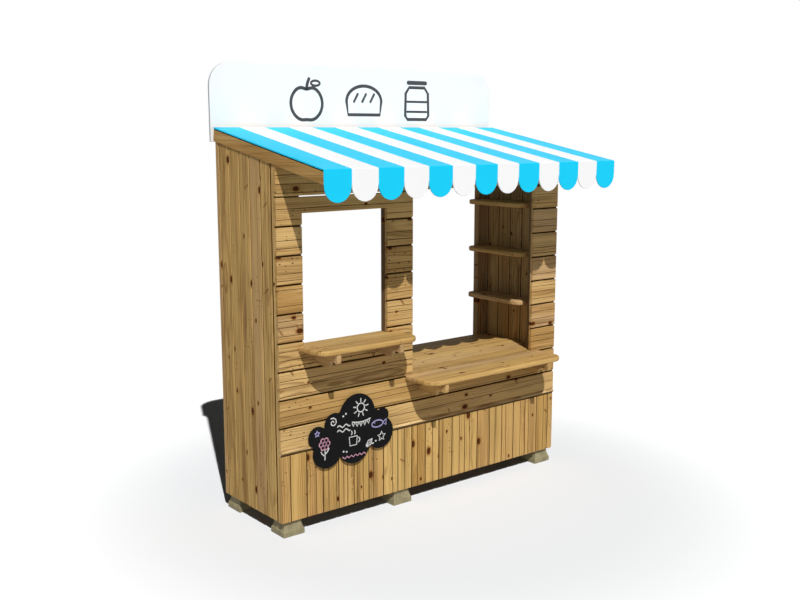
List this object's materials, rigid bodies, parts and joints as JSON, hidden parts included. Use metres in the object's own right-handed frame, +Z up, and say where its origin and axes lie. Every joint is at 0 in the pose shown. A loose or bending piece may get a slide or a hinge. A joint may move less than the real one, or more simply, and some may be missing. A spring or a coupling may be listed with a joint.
{
  "type": "wooden market stall",
  "caption": "Wooden play market stall, an open frame with a striped lean-to awning, a window with a small counter, a wide serving counter and wall shelves.",
  "frame": {"origin": "on the floor, at the middle of the stall's overall width and depth", "axes": "+Z up, -Y towards the customers' side with the awning and counters, +X to the right as seen from that side"},
  "size_m": [1.608, 0.842, 1.932],
  "materials": {
    "pine_boards": "oiled softwood boards with brown knots, matt",
    "pine_frame": "oiled planed softwood battens, matt",
    "pine_tops": "oiled planed softwood planks with rounded edges, satin",
    "foot_blocks": "moulded khaki blocks, matt",
    "awning": "sky blue and white stripes, satin sheet",
    "sign_panel": "white board, satin",
    "chalkboard": "matt black chalkboard paint with white chalk marks"
  },
  "bodies": {
    "root": {"left_wall": "pine_boards", "right_wall": "pine_boards", "front_left_pier": "pine_boards", "front_mid_pier": "pine_boards", "front_right_pier": "pine_boards", "front_over_window": "pine_boards", "front_under_window": "pine_boards", "front_lower_wall": "pine_boards", "front_header": "pine_boards", "base_panel": "pine_boards", "base_rail": "pine_boards", "corner_post_left": "pine_frame", "corner_post_right": "pine_frame", "window_post": "pine_frame", "mid_post": "pine_frame", "serving_post": "pine_frame", "back_stile_left": "pine_frame", "back_stile_right": "pine_frame", "back_top_rail": "pine_frame", "back_bottom_rail": "pine_frame", "counter_leg": "pine_frame", "rafter_left": "pine_frame", "rafter_right": "pine_frame", "sign_batten": "pine_frame", "left_counter": "pine_tops", "right_counter": "pine_tops", "left_counter_bracket_a": "pine_tops", "left_counter_bracket_b": "pine_tops", "right_counter_bracket_a": "pine_tops", "right_counter_bracket_b": "pine_tops", "shelf_low": "pine_tops", "shelf_mid": "pine_tops", "shelf_top": "pine_tops", "foot_front_left": "foot_blocks", "foot_front_mid": "foot_blocks", "foot_front_right": "foot_blocks", "foot_back_left": "foot_blocks", "foot_back_mid": "foot_blocks", "foot_back_right": "foot_blocks", "roof_sheet": "awning", "valance": "awning", "sign_board": "sign_panel", "cloud_board": "chalkboard"}
  },
  "joints": []
}
